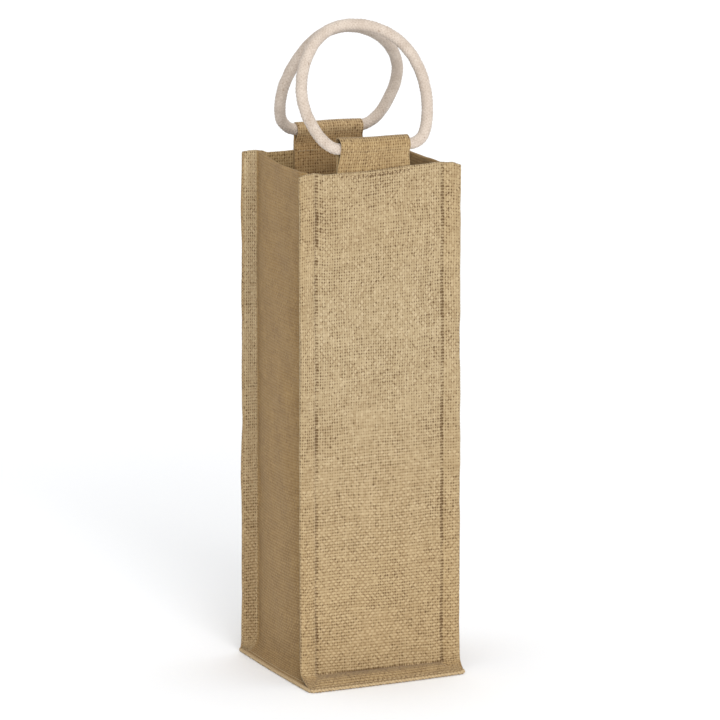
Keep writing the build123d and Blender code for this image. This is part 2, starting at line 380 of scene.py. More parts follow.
def gusset_section(side, s, z):
    """Distance out from the bag's middle and position along Y of a side wall at a height."""
    along = np.clip(s / GUSSET_RUN, -1, 1)
    near_rim = smooth(z, RIM - 95, RIM - 6)
    near_foot = 1 - smooth(z, 10, 70)
    fullness = 2.4 + near_rim * (8 if side < 0 else 1.5)
    hollow = 2.4 - near_rim * (0.8 if side < 0 else 0)
    front = 1 - np.abs(along) ** fullness
    rear = 1 - np.abs(along) ** hollow
    bow = np.where(along < 0, front, rear)
    swell = 6.6 - 1.4 * near_foot - (0.2 if side < 0 else 7.4) * near_rim
    past = np.abs(s) - GUSSET_RUN
    soft = np.where(s > 0, 2.2, 1.0)
    ease = 2.4 * smooth(along, 0.1, 1) * (1 - np.clip(past / GUSSET_FLANGE, 0, 1))
    out = GUSSET_X + swell * bow + soft_ramp(past, soft) + ease
    y = np.sign(s) * (GUSSET_Y - soft_ramp(-past, soft) * GUSSET_Y / GUSSET_RUN)
    tip = 0.9 * smooth(past, GUSSET_FLANGE - 2.5, GUSSET_FLANGE)
    return out, y + np.sign(s) * tip


def gusset_opening(s, t):
    """The side walls' weave is closed and smooth, with more open weave on their stand-up
    edges and a little more near the foot."""
    low = 1 - smooth(t - GUSSET_REACH + FOLD_Z, 6, 55)
    flange = smooth(np.abs(s), GUSSET_RUN - 1.5, GUSSET_RUN + 1.5)
    return 0.43 + 0.12 * low + (0.63 - 0.12 * low) * flange


def gusset_painted_shade(s, t):
    """Painted shade on the side walls, which face away from the light: they are darker than their
    stand-up edges, which darken toward the foot.
    """
    flange = smooth(np.abs(s), GUSSET_RUN - 1, GUSSET_RUN + 1)
    z = t - GUSSET_REACH + FOLD_Z
    low = 0.45 * (1 - smooth(z, 20, 230))
    hem = smooth(z, RIM, RIM + 3)
    return np.clip(1 - flange * (1 - low) * (1 - 0.8 * hem), 0, 1)


def panel_opening(side, tab_x):
    """Seam lines, the fold over the foot and needle holes show as dark openings: painted shade
    in these creases and holes, through the hole colour.
    """
    reach = PANEL_REACH[side]

    def open_at(s, t):
        z = t - reach + FOLD_Z
        seam = bell(np.abs(s), SEAM_X + SEAM_LINE, 0.38)
        seam = seam * (0.9 + 0.1 * np.cos(2 * math.pi * z / STITCH_PITCH))
        seam = seam * smooth(z, FOLD_Z - 1, FOLD_Z + 1) * (1 - smooth(z, RIM, RIM + 3))
        between = 1 - smooth(np.abs(s), SEAM_X - 1, SEAM_X + 2)
        fold = bell(z, FOLD_Z + 0.3, 0.75) * between
        dots = np.maximum(np.cos(2 * math.pi * z / 5.3), 0) ** 2 * smooth(z, 285, 335)
        dots = dots * (z < RIM - 3) * (bell(s, 3.4 - SEAM_X, 0.8) + bell(s, SEAM_X + 3.4, 0.8))
        under = bell(z, RIM - 2.9, 0.6) * (np.abs(s - tab_x) < 26)
        under = under * (0.35 + 0.65 * np.maximum(np.cos(2 * math.pi * s / TAB_STITCH_PITCH), 0))
        return 1 + seam + 1.2 * fold + 1.3 * dots + 1.5 * under

    return open_at


def panel_painted_shade(side):
    """Painted shade on the panels: the front panel darkens gently toward the floor, and the back one
    is darker all over. Stand-up edges and the top are a little darker too, and the foot and the
    hem inside the mouth darkest."""
    reach = PANEL_REACH[side]

    def painted_shade_at(s, t):
        z = t - reach + FOLD_Z
        low = 0.55 * (1 - smooth(z, 15, 250)) if side < 0 else 0.55
        foot = 1 - smooth(z, FOLD_Z - 1.5, FOLD_Z + 0.5)
        hem = smooth(z, RIM, RIM + 3)
        edge = 0.2 * smooth(np.abs(s), SEAM_X, SEAM_X + 2) + 0.18 * smooth(z, 240, 320)
        wall = np.maximum(low + 0.6 * edge, edge)
        return np.clip(np.maximum(wall, np.maximum(0.95 * foot, 0.9 * hem)), 0, 1)

    return painted_shade_at


def tab_painted_shade(side, length):
    """Painted shade on the tabs: even on the front tab, which is in even light, and on the back
    tab more and browner down inside the mouth.
    """

    def painted_shade_at(s, t):
        if side < 0:
            return np.full(s.shape, 0.85)
        return 0.55 + 0.45 * smooth(np.abs(t - length / 2), 7, 15)

    return painted_shade_at


def gusset(side):
    """place function of the left (side -1) or right (side 1) gusset, with its edges."""
    pitch = math.asin((FOLD_Z - LIP_Z) / GUSSET_REACH)
    half = GUSSET_RUN + GUSSET_FLANGE
    front_end = -(WALL_Y + front_stand(side * FOOT_X)) + 0.8
    back_end = WALL_Y + BACK_STAND - 0.8

    def place(s, t):
        past = t - GUSSET_REACH
        lean = foot_out(past, FLANGE_SOFT, GUSSET_REACH)
        rise = FOLD_Z + past + (1 - math.sin(pitch)) * soft_ramp(-past, FLANGE_SOFT)
        top = RIM + 0.1 + 0.35 * np.sin(s / 17 + side) - 2.2 * smooth(np.abs(s), half - 5, half + 1)
        if side < 0:
            top = top - 1.4 * smooth(-s, GUSSET_RUN - 6, GUSSET_RUN + 1) - 1.2 * bell(s, 8, 26)
        else:
            top = top + 1.4 * bell(s, 8 - GUSSET_RUN, 18)
        z, depth = fold_over(rise, top, GUSSET_FOLD_RADIUS)
        out, y = gusset_section(side, s, z)
        step = 0.05
        out_b, y_b = gusset_section(side, s + step, z)
        out_a, y_a = gusset_section(side, s - step, z)
        run = np.stack([out_b - out_a, y_b - y_a], axis=-1)
        run = run / np.maximum(np.linalg.norm(run, axis=-1, keepdims=True), 1e-9)
        out = out - run[..., 1] * depth
        y = y + run[..., 0] * depth
        calm = smooth(z, 8, 40) * (1 - smooth(np.abs(s), GUSSET_RUN - 8, GUSSET_RUN))
        out = out + calm * (0.9 * ripple(61 + side, s, z, 85) + 0.4 * ripple(71 + side, s, z, 28))
        share = (s + half) / (2 * half)
        foot_y = front_end + (back_end - front_end) * share
        past_edge = np.maximum(np.abs(s) - GUSSET_RUN, 0) / GUSSET_FLANGE
        out = out + past_edge * edge_spread(np.sign(s), side, z) * (1 - lean)
        ends = (-1.0, -1.0) if side < 0 else (FRONT_RIGHT_TUCK, -0.6)
        foot_out_x = FOOT_X + ends[0] + (ends[1] - ends[0]) * share + 0.8 * np.sin(math.pi * share)
        out = out + (foot_out_x - out) * lean
        y = y + (foot_y - y) * lean
        return np.stack([side * out, y, z], axis=-1)

    length = GUSSET_REACH + RIM - FOLD_Z - GUSSET_FOLD_RADIUS
    length = length + math.pi * GUSSET_FOLD_RADIUS + GUSSET_HEM
    return place, (-half, half), (0, length)


def base_place(s, t):
    """The base: a floor inside the bag whose edges slope down to the outer edge of the foot."""
    a = s / FOOT_X
    b = t / BASE_HALF
    front = WALL_Y + front_stand(s) - 0.6
    rear = WALL_Y + BACK_STAND - 0.6
    y = np.where(b < 0, b * front, b * rear)
    inset = np.minimum((1 - np.abs(a)) * FOOT_X, np.where(b < 0, (1 + b) * front, (1 - b) * rear))
    z = 0.35 + 4.6 * smooth(inset, 0.5, 14)
    tuck = -0.6 + (FRONT_RIGHT_TUCK + 0.6) * (1 - b) / 2
    half = np.where(a < 0, FOOT_X - 1.8, FOOT_X - 0.8 + tuck)
    return np.stack([a * half, y, z], axis=-1)


# Tabs, front (-1) and back (1): radius of the loop round the rope, the strip that is missing
# at the right, the leg's length below the rim, and how much the free loop narrows, shifts,
# tilts and rises
TAB_LOOP = {-1: 5.8, 1: 5.05}
TAB_CUT = {-1: 0.0, 1: 2.2}
TAB_LEG = 21.5
TAB_FORM = {-1: (0.045, -0.2, 0.03, 1.0), 1: (0.047, -0.3, 0.022, -0.55)}


def tab_path(tunnel, loop):
    """A tab's section: two close layers that open to a loop round the rope, by length."""
    gap = 1.25
    neck = 2.0
    rise = tunnel - neck
    reach = math.hypot(gap, rise)
    swing = math.asin(loop / reach) - math.asin(gap / reach)
    leave = math.pi + swing
    line = [(-gap, z) for z in np.arange(-TAB_LEG, neck, 0.5)]
    foot = np.array([-gap, neck])
    contact = np.array([loop * math.cos(leave), tunnel + loop * math.sin(leave)])
    line += [tuple(foot + (contact - foot) * k / 24) for k in range(24)]
    line += [
        (loop * math.cos(angle), tunnel + loop * math.sin(angle))
        for angle in np.linspace(leave, math.pi / 2, 40)
    ]
    half = np.array(line)
    other = half[-2::-1].copy()
    other[:, 0] *= -1
    path = np.vstack([half, other])
    for _ in range(6):
        path[1:-1] = (path[:-2] + 2 * path[1:-1] + path[2:]) / 4
    along = np.concatenate([[0], np.cumsum(np.linalg.norm(np.diff(path, axis=0), axis=1))])
    return along, path


def tab(side, leg, loop):
    """place function of a tab: its length runs up the front layer, over the rope and down."""
    low, high = mm_box(leg)
    top = mm_box(loop)[1][2]
    tunnel = top - RIM - TUNNEL_RADIUS - CLOTH
    along, path = tab_path(tunnel, TAB_LOOP[side])
    middle_x = (low[0] + high[0]) / 2
    middle_y = (abs(low[1]) + abs(high[1])) / 2 - 0.3
    half = (high[0] - low[0]) / 2
    length = along[-1]

    def place(s, t):
        depth = np.interp(t, along, path[:, 0])
        z = np.interp(t, along, path[:, 1])
        free = smooth(z, 1, 8)
        crease = 0.45 * bell(t, length * 0.5 - 13.5, 0.9) * free
        edge = smooth(np.abs(s), half - 1.6, half + 0.4)
        depth = depth * (1 - 0.05 * edge) + np.where(t < length / 2, crease, 0)
        wave = free * (0.35 * ripple(81 + side, s, t, 30) - 0.5 * edge)
        narrowing, shift, tilt, raise_by = TAB_FORM[side]
        x = middle_x + s * (1.012 - narrowing * free) + shift * free
        lift = free * (0.25 * np.sin(s / 9 + side) + raise_by - tilt * s)
        return np.stack([x, side * (middle_y - depth + wave * 0.3), RIM + z + lift], axis=-1)

    return place, (-half, half - TAB_CUT[side]), (0, length)


# ---------------------------------------------------------------- rope rings

# Rope: thickness, points round it, its core and the points round that, and the braid's
# strands each way and its lay
ROPE = 7.9
ROPE_AROUND = 64
CORE_RADIUS = 2.5
CORE_AROUND = 12
CARRIERS = 8
BRAID_PITCH = 21.0


def smooth_line(points):
    """The route's NURBS spline, read back from a curve with no bevel."""
    curve = bpy.data.curves.new("route", "CURVE")
    curve.dimensions = "3D"
    spline = curve.splines.new("NURBS")
    spline.points.add(len(points) - 1)
    for knot, point in zip(spline.points, points):
        knot.co = (*(np.array(point) * MM), 1)
    spline.order_u = 3
    spline.use_endpoint_u = True
    spline.resolution_u = 28
    holder = bpy.data.objects.new("route", curve)
    mesh = bpy.data.meshes.new_from_object(holder)
    line = np.array([vertex.co for vertex in mesh.vertices]) / MM
    bpy.data.objects.remove(holder)
    bpy.data.meshes.remove(mesh)
    bpy.data.curves.remove(curve)
    return line


def ring_points(side, route, origin, lean, yaw):
    """A ring's route in its own plane, leaned over the mouth and turned a little."""
    lean, yaw = math.radians(lean), math.radians(yaw)
    points = []
    for across, up in route:
        inward = up * math.sin(lean)
        turned = math.tan(yaw) * across * float(smooth(up, 0, 16))
        y = origin[1] - side * inward + turned
        points.append((origin[0] + across, y, origin[2] + up * math.cos(lean)))
    return points


def rope(name, side, route, origin, lean, yaw):
    """Braided cotton rope: strands cross over and under round a soft core."""
    points = ring_points(side, route, origin, lean, yaw)
    line = smooth_line(points)
    step = np.linalg.norm(np.diff(line, axis=0), axis=1)
    along = np.concatenate([[0], np.cumsum(step)])
    turn = np.arange(ROPE_AROUND) / ROPE_AROUND
    left = CARRIERS * (turn[None, :] + along[:, None] / BRAID_PITCH)
    right = CARRIERS * (turn[None, :] - along[:, None] / BRAID_PITCH)
    over = np.cos(math.pi * (np.round(left) + right)) * 0.5
    under = -np.cos(math.pi * (left + np.round(right))) * 0.5
    strand_a = over - 2.2 * (left - np.round(left)) ** 2
    strand_b = under - 2.2 * (right - np.round(right)) ** 2
    height = np.maximum(strand_a, strand_b)
    soft = ripple(95 + side, along[:, None], 8 * np.sin(2 * math.pi * turn)[None, :], 9)
    radii = ROPE / 2 - 0.2 + 0.5 * height + 0.14 * soft
    normal = np.array([0.0, -side * math.cos(math.radians(lean)), -math.sin(math.radians(lean))])
    rings, faces = tube(line, normal, radii, ROPE_AROUND)
    weave = np.stack([left, right, np.broadcast_to(along[:, None] / 10, left.shape)], axis=2)
    piece = mesh_object(name, rings, faces, weave.reshape(-1, 3))
    return piece, line


# ---------------------------------------------------------------- materials


class Graph:
    """Short names for one material's nodes."""

    def __init__(self, name):
        self.material = bpy.data.materials.new(name)
        self.material.use_nodes = True
        self.tree = self.material.node_tree
        self.tree.nodes.clear()
        self.shader = self.tree.nodes.new("ShaderNodeBsdfPrincipled")
        output = self.tree.nodes.new("ShaderNodeOutputMaterial")
        self.tree.links.new(self.shader.outputs[0], output.inputs[0])

    def put(self, socket, value):
        if isinstance(value, bpy.types.NodeSocket):
            self.tree.links.new(value, socket)
        elif value is not None:
            socket.default_value = value

    def math(self, operation, a, b=None, c=None):
        node = self.tree.nodes.new("ShaderNodeMath")
        node.operation = operation
        for socket, value in zip(node.inputs, (a, b, c)):
            self.put(socket, value)
        return node.outputs[0]

    def plus(self, a, b):
        return self.math("ADD", a, b)

    def minus(self, a, b):
        return self.math("SUBTRACT", a, b)

    def times(self, a, b):
        return self.math("MULTIPLY", a, b)

    def scaled(self, value, factor, added):
        """value times factor, plus added."""
        return self.math("MULTIPLY_ADD", value, factor, added)

    def vector(self, x, y, z):
        node = self.tree.nodes.new("ShaderNodeCombineXYZ")
        for socket, value in zip(node.inputs, (x, y, z)):
            self.put(socket, value)
        return node.outputs[0]

    def split(self, vector):
        node = self.tree.nodes.new("ShaderNodeSeparateXYZ")
        self.put(node.inputs[0], vector)
        return node.outputs

    def noise(self, vector, scale=1.0, detail=2.0, roughness=0.5):
        node = self.tree.nodes.new("ShaderNodeTexNoise")
        self.put(node.inputs["Vector"], vector)
        self.put(node.inputs["Scale"], scale)
        self.put(node.inputs["Detail"], detail)
        self.put(node.inputs["Roughness"], roughness)
        return node.outputs[0]

    def between(self, value, low, high, to_low=0.0, to_high=1.0):
        """to_low where value is below low, to_high above high, eased between them."""
        node = self.tree.nodes.new("ShaderNodeMapRange")
        node.interpolation_type = "SMOOTHSTEP"
        for socket, number in zip(node.inputs, (value, low, high, to_low, to_high)):
            self.put(socket, number)
        return node.outputs[0]

    def pick(self, share, a, b):
        """The number a where share is 0 and b where it is 1."""
        node = self.tree.nodes.new("ShaderNodeMix")
        node.data_type = "FLOAT"
        self.put(node.inputs[0], share)
        self.put(node.inputs[2], a)
        self.put(node.inputs[3], b)
        return node.outputs[0]

    def mix(self, share, a, b, blend="MIX"):
        """The colour a where share is 0 and b where it is 1."""
        node = self.tree.nodes.new("ShaderNodeMix")
        node.data_type = "RGBA"
        node.blend_type = blend
        colours = [socket for socket in node.inputs if socket.type == "RGBA"]
        self.put(node.inputs[0], share)
        self.put(colours[0], a)
        self.put(colours[1], b)
        return [socket for socket in node.outputs if socket.type == "RGBA"][0]

    def attribute(self, name):
        """A mesh attribute as a vector and as its three numbers."""
        node = self.tree.nodes.new("ShaderNodeAttribute")
        node.attribute_name = name
        return node.outputs["Vector"], self.split(node.outputs["Vector"])

    def number(self, name):
        """A mesh attribute of one number."""
        node = self.tree.nodes.new("ShaderNodeAttribute")
        node.attribute_name = name
        return node.outputs["Fac"]

    def object_place(self):
        return self.tree.nodes.new("ShaderNodeTexCoord").outputs["Object"]

    def finish(self, colour, roughness, height=None, distance=0.0003, strength=1.0, sheen=0.0):
        self.put(self.shader.inputs["Base Color"], colour)
        self.put(self.shader.inputs["Roughness"], roughness)
        self.shader.inputs["Sheen Weight"].default_value = sheen
        self.shader.inputs["Sheen Roughness"].default_value = 0.6
        self.shader.inputs["Specular IOR Level"].default_value = 0.25
        if height is not None:
            bump = self.tree.nodes.new("ShaderNodeBump")
            bump.inputs["Strength"].default_value = strength
            bump.inputs["Distance"].default_value = distance
            self.put(bump.inputs["Height"], height)
            self.tree.links.new(bump.outputs[0], self.shader.inputs["Normal"])
        return self.material


def rgb(red, green, blue, lit=1.0):
    """A shader colour from the colour seen on screen where the light is lit times white."""
    seen = [((value / 255 + 0.055) / 1.055) ** 2.4 / lit for value in (red, green, blue)]
    return (*seen, 1.0)


def woven(graph, u, v, half_u, half_v):
    """Height of the yarn on top at a place in a plain weave, and whether it is the warp."""
    near_u = graph.math("ROUND", u)
    near_v = graph.math("ROUND", v)
    off_u = graph.minus(u, near_u)
    off_v = graph.minus(v, near_v)
    wave_u = graph.math("COSINE", graph.times(graph.plus(near_u, v), math.pi))
    wave_v = graph.math("COSINE", graph.times(graph.plus(near_v, u), math.pi))
    fall_u = graph.math("POWER", graph.math("DIVIDE", off_u, half_u), 2.0)
    fall_v = graph.math("POWER", graph.math("DIVIDE", off_v, half_v), 2.0)
    high_u = graph.minus(graph.times(wave_u, 0.5), fall_u)
    high_v = graph.minus(graph.times(wave_v, -0.5), fall_v)
    top = graph.math("MAXIMUM", high_u, high_v)
    is_warp = graph.between(graph.minus(high_u, high_v), -0.15, 0.15)
    return top, is_warp


def yarn_noise(graph, yarn, along, spread, rate, layer):
    """A slow change along each yarn that differs from yarn to yarn."""
    return graph.noise(graph.vector(graph.times(yarn, spread), graph.times(along, rate), layer))


def jute_fibre(graph, across, along, layer):
    """Coarse fibres that run a little aslant along a yarn."""
    slant = graph.scaled(across, 11.0, graph.times(along, 3.1))
    return graph.noise(graph.vector(slant, graph.times(along, 1.3), layer), detail=3.0)


def jute_tone(graph, yarns, fibre, is_warp, cloudy):
    """Lightness of the jute: each yarn, fibre and crossing has its own, and open weave varies
    most. The weft is the lighter yarn near the foot, and the warp toward the rim."""
    u, v, near_u, near_v, opening = yarns
    tone_u = yarn_noise(graph, near_u, v, 3.17, 0.07, 11.3)
    tone_v = yarn_noise(graph, near_v, u, 4.39, 0.07, 17.9)
    yarn = graph.pick(is_warp, tone_v, tone_u)
    crossing = graph.vector(graph.times(near_u, 7.31), graph.times(near_v, 5.77), 4.4)
    spin = graph.noise(crossing, detail=0.0)
    height = graph.split(graph.object_place())[2]
    brick = graph.between(height, 0.06, 0.24, 0.18, -0.1)
    brick = graph.times(graph.minus(0.5, is_warp), brick)
    tone = graph.scaled(yarn, 0.34, graph.times(fibre, 0.36))
    tone = graph.scaled(cloudy, 0.14, graph.plus(tone, brick))
    tone = graph.scaled(spin, 0.34, graph.minus(tone, 0.59))
    tone = graph.scaled(tone, graph.between(opening, 0.15, 0.6, 0.7, 1.0), 0.5)
    closed = graph.minus(1.0, graph.between(opening, 0.15, 0.6))
    plain = graph.scaled(cloudy, 0.2, 0.4)
    return graph.plus(tone, graph.times(closed, graph.minus(plain, 0.5)))


def jute(name, dark, middle, light, hole, shade):
    """Jute: uneven two-tone yarns of coarse fibre in an open plain weave, with bark specks,
    painted shade in its holes and where its tone is 1, and painted highlights on the yarn tops.
    """
    graph = Graph(name)
    whole, (u, v, opening) = graph.attribute("weave")
    near_u = graph.math("ROUND", u)
    near_v = graph.math("ROUND", v)
    width_u = graph.between(yarn_noise(graph, near_u, v, 7.31, 0.11, 3.7), 0.3, 0.7, 0.35, 0.43)
    width_v = graph.between(yarn_noise(graph, near_v, u, 5.77, 0.11, 8.9), 0.3, 0.7, 0.36, 0.45)
    top, is_warp = woven(graph, u, v, width_u, width_v)
    fibre = graph.pick(is_warp, jute_fibre(graph, v, u, 6.1), jute_fibre(graph, u, v, 1.7))
    cloudy = graph.noise(whole, scale=0.12, detail=3.0)
    tone = jute_tone(graph, (u, v, near_u, near_v, opening), fibre, is_warp, cloudy)
    colour = graph.mix(graph.between(tone, 0.36, 0.5), dark, middle)
    colour = graph.mix(graph.between(tone, 0.5, 0.66), colour, light)

    # Painted shade in the holes: deep places of the weave, and its seam lines, fold and needle holes
    # where the opening is raised, take the dark hole colour
    gap_u = graph.times(graph.math("FLOOR", u), 6.13)
    gap_v = graph.times(graph.math("FLOOR", v), 8.71)
    gap = graph.scaled(graph.noise(graph.vector(gap_u, gap_v, 9.1), detail=0.0), 1.9, -0.95)
    depth = graph.scaled(graph.minus(0.5, opening), 1.8, graph.plus(top, gap))
    colour = graph.mix(graph.between(depth, -1.85, -0.7), hole, colour)
    # Painted shade: where the tone attribute is 1, the colour is multiplied by the shade colour
    shaded = graph.mix(1.0, colour, shade, "MULTIPLY")
    colour = graph.mix(graph.number("tone"), colour, shaded)
    # Painted highlight: the high tops of the yarns are lightened toward the light colour
    colour = graph.mix(graph.between(top, -0.3, 0.45, 0.0, 0.22), colour, light)
    speck = graph.noise(whole, scale=0.75, detail=2.0)
    colour = graph.mix(graph.between(speck, 0.72, 0.76, 0.0, 0.55), colour, hole)
    height = graph.scaled(fibre, 0.35, graph.times(graph.math("MAXIMUM", top, -1.4), 0.6))
    rough = graph.between(fibre, 0.3, 0.7, 0.92, 0.78)
    return graph.finish(colour, rough, height, distance=0.00028, strength=0.85, sheen=0.08)


def cotton_fibre(graph, across, along, layer):
    """Fine fibres that run along a strand."""
    place = graph.vector(graph.times(across, 9.0), graph.times(along, 1.1), layer)
    return graph.noise(place, detail=3.0)


def cotton(name, gap, dark, light):
    """Undyed cotton rope: matt braided strands of fine fibre with a few dark flecks, and
    painted shade between the strands in the gap colour.
    """
    graph = Graph(name)
    u, v, along = graph.attribute("weave")[1]
    top, is_left = woven(graph, u, v, 0.62, 0.62)
    fibre_u = cotton_fibre(graph, u, v, along)
    fibre_v = cotton_fibre(graph, v, u, along)
    fibre = graph.pick(is_left, fibre_v, fibre_u)
    cloudy = graph.noise(graph.object_place(), scale=140.0, detail=3.0)
    tone = graph.scaled(fibre, 0.7, graph.times(cloudy, 0.3))
    colour = graph.mix(graph.between(tone, 0.34, 0.62), dark, light)
    # Painted shade: low places between the strands take the gap colour, which is also the flecks' own
    # dark colour
    colour = graph.mix(graph.between(top, -0.62, -0.05, 0.62, 0.0), colour, gap)
    fleck = graph.noise(graph.object_place(), scale=430.0, detail=2.0)
    colour = graph.mix(graph.between(fleck, 0.66, 0.74, 0.0, 0.6), colour, gap)
    height = graph.scaled(fibre, 0.35, graph.times(top, 0.5))
    rough = graph.between(tone, 0.3, 0.7, 0.95, 0.82)
    return graph.finish(colour, rough, height, distance=0.0003, strength=0.7, sheen=0.15)


def spun(name, dark, light, twist=900.0):
    """Two-ply thread: a fine slanting twist, in turns to the metre, with uneven tone."""
    graph = Graph(name)
    place = graph.object_place()
    x, y, z = graph.split(place)
    slant = graph.plus(graph.plus(x, y), z)
    ply = graph.math("SINE", graph.times(slant, twist * 2 * math.pi))
    tone = graph.noise(place, scale=1500.0, detail=2.0)
    mixed = graph.scaled(ply, 0.22, tone)
    colour = graph.mix(graph.between(mixed, 0.3, 0.75), dark, light)
    rough = graph.between(tone, 0.3, 0.7, 0.9, 0.75)
    return graph.finish(colour, rough, mixed, distance=0.0001, strength=0.6, sheen=0.05)


# Light that falls on the bag, as a share of white, and jute from dark yarn to its holes.
# The last colour of each jute is painted shade, which tints it where its tone is 1: one for
# the panels, a darker, more orange one for the side walls and a lighter, warmer one for the back tab.
LIT = 1.5
JUTE_TONES = (
    rgb(172, 147, 109, LIT),
    rgb(194, 171, 132, LIT),
    rgb(213, 191, 153, LIT),
    rgb(110, 83, 49, LIT),
)
JUTE = jute("jute_weave", *JUTE_TONES, (0.87, 0.75, 0.55, 1.0))
SHADED_SIDE_JUTE = jute("jute_weave_side_shaded", *JUTE_TONES, (0.75, 0.59, 0.34, 1.0))
SHADED_TAB_JUTE = jute("jute_weave_tab_shaded", *JUTE_TONES, (1.02, 0.83, 0.6, 1.0))
THREAD = spun("jute_thread", rgb(180, 150, 108, LIT), rgb(230, 205, 164, LIT))
# The rope's first colour is painted shade between the strands and also the colour of its dark flecks
COTTON = cotton(
    "cotton_braid", rgb(168, 143, 122, LIT), rgb(203, 185, 168, LIT), rgb(237, 222, 207, LIT),
)
CORE = spun("cotton_core", rgb(206, 190, 166, LIT), rgb(236, 226, 206, LIT), twist=500.0)
WRAP = spun("cotton_wrap", rgb(206, 188, 164, LIT), rgb(236, 226, 208, LIT), twist=700.0)


def dress(piece, material):
    """Give a piece its one material, and return the piece."""
    piece.data.materials.clear()
    piece.data.materials.append(material)
    return piece


# ---------------------------------------------------------------- camera, floor and light

# Camera: its angles, then in metres its distance and its shift to its own right and up,
# its lens in millimetres, and the strength of the white world
CAMERA_AZIMUTH = math.radians(-23.26)
CAMERA_ELEVATION = math.radians(12.52)
CAMERA_DISTANCE = 5.6246
CAMERA_ASIDE = 0.00602
CAMERA_ABOVE = 0.03386
LENS = 415.2
WORLD_LEVEL = 0.74


def camera():
    """The camera, placed and aimed so that the bag lies in the frame as in the photograph."""
    a, e = CAMERA_AZIMUTH, CAMERA_ELEVATION
    back = Vector((math.sin(a) * math.cos(e), -math.cos(a) * math.cos(e), math.sin(e)))
    right = Vector((math.cos(a), math.sin(a), 0))
    up = back.cross(right)
    data = bpy.data.cameras.new("camera")
    data.lens = LENS
    data.sensor_width = 36
    data.clip_start, data.clip_end = 0.1, 100
    made = bpy.data.objects.new("camera", data)
    middle = Vector((0, 0, RIM / 2 * MM))
    place = middle + back * CAMERA_DISTANCE + right * CAMERA_ASIDE + up * CAMERA_ABOVE
    turn = Matrix((right, up, back)).transposed().to_4x4()
    made.matrix_world = Matrix.Translation(place) @ turn
    bpy.context.scene.collection.objects.link(made)
    bpy.context.scene.camera = made


def soft_sun(name, azimuth, elevation, strength, spread):
    """A broad soft light from one side, the same all over the floor. Angles are in degrees."""
    a, e = math.radians(azimuth), math.radians(elevation)
    data = bpy.data.lights.new(name, "SUN")
    data.energy = strength
    data.angle = math.radians(spread)
    made = bpy.data.objects.new(name, data)
    toward = Vector((math.sin(a) * math.cos(e), -math.cos(a) * math.cos(e), math.sin(e)))
    made.rotation_mode = "QUATERNION"
    made.rotation_quaternion = toward.to_track_quat("Z", "Y")
    bpy.context.scene.collection.objects.link(made)


def stage():
    """A plain pale floor and plain soft studio light."""
    half = 20000.0
    corners = [(-half, -half, 0), (half, -half, 0), (half, half, 0), (-half, half, 0)]
    floor = mesh_object("floor", corners, [(0, 1, 2, 3)])
    graph = Graph("floor_paper")
    grain = graph.noise(graph.object_place(), scale=260.0, detail=3.0)
    colour = graph.mix(graph.between(grain, 0.3, 0.7), rgb(250, 251, 253), rgb(251, 252, 253))
    dress(floor, graph.finish(colour, 0.9))
    world = bpy.data.worlds.new("studio")
    world.use_nodes = True
    world.node_tree.nodes["Background"].inputs[0].default_value = (1, 1, 1, 1)
    world.node_tree.nodes["Background"].inputs[1].default_value = WORLD_LEVEL
    bpy.context.scene.world = world
    soft_sun("key", -8, 18, 2.4, 34)
    soft_sun("overhead", 160, 78, 0.5, 40)
    bpy.context.scene.view_settings.view_transform = "Standard"


camera()
stage()

# ---------------------------------------------------------------- ropes

FRONT_ROUTE = [
    (10, 0), (19, 0), (27.5, -0.3), (35.6, 2.2), (41.4, 11.4), (44.8, 24), (46, 37), (44.4, 51),
    (38.9, 64.8), (29.2, 75.8), (15.4, 83.2), (0.6, 86), (-15, 84.3), (-27.7, 76.3),
    (-37, 64.5), (-43, 51.2), (-45.5, 37.4), (-44, 24.8), (-39.8, 13.2), (-34, 4.4),
    (-27.5, 0), (-19, 0), (-10, 0),
]
BACK_ROUTE = [
    (10, -0.3), (18, -0.8), (25, -0.9), (32.5, 3), (38.8, 10.4), (43.4, 20.8), (46.2, 32.8),
    (44.8, 46), (38.6, 57.8), (28.8, 68), (15.8, 75.4), (1.8, 79), (-12.2, 77.7),
    (-23.8, 70.4), (-32.4, 58.6), (-38.2, 46), (-41.5, 33), (-41.4, 20.5), (-38.8, 9.8), (-32.6, 2.8),
    (-27.5, 0), (-19, 0), (-10, 0),
]
# Side, route, lean and turn in degrees, and length in metres
ROPES = {
    "front": (-1, FRONT_ROUTE, 26.8, 1.7, 0.268),
    "back": (1, BACK_ROUTE, 21.0, 5.2, 0.254),
}


for end, (side, route, lean, yaw, length) in ROPES.items():
    low, high = mm_box(f"{end}_rope_splice")
    origin = (low + high) / 2
    piece, line = rope(f"{end}_rope", side, route, origin, lean, yaw)
    dress(piece, COTTON)
    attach(piece, f"{end}_ring")
    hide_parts(f"{end}_rope_cover")
    normal = (0.0, 1.0, 0.0)
    core_radii = np.full((len(line), CORE_AROUND), CORE_RADIUS)
    rings, faces = tube(line, normal, core_radii, CORE_AROUND)
    core = dress(mesh_object(f"{end}_rope_core_yarns", rings, faces), CORE)
    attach(core, f"{end}_ring")
    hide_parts(f"{end}_rope_core")
    dress(bpy.data.objects[f"{end}_rope_splice"], WRAP)

# ---------------------------------------------------------------- bag

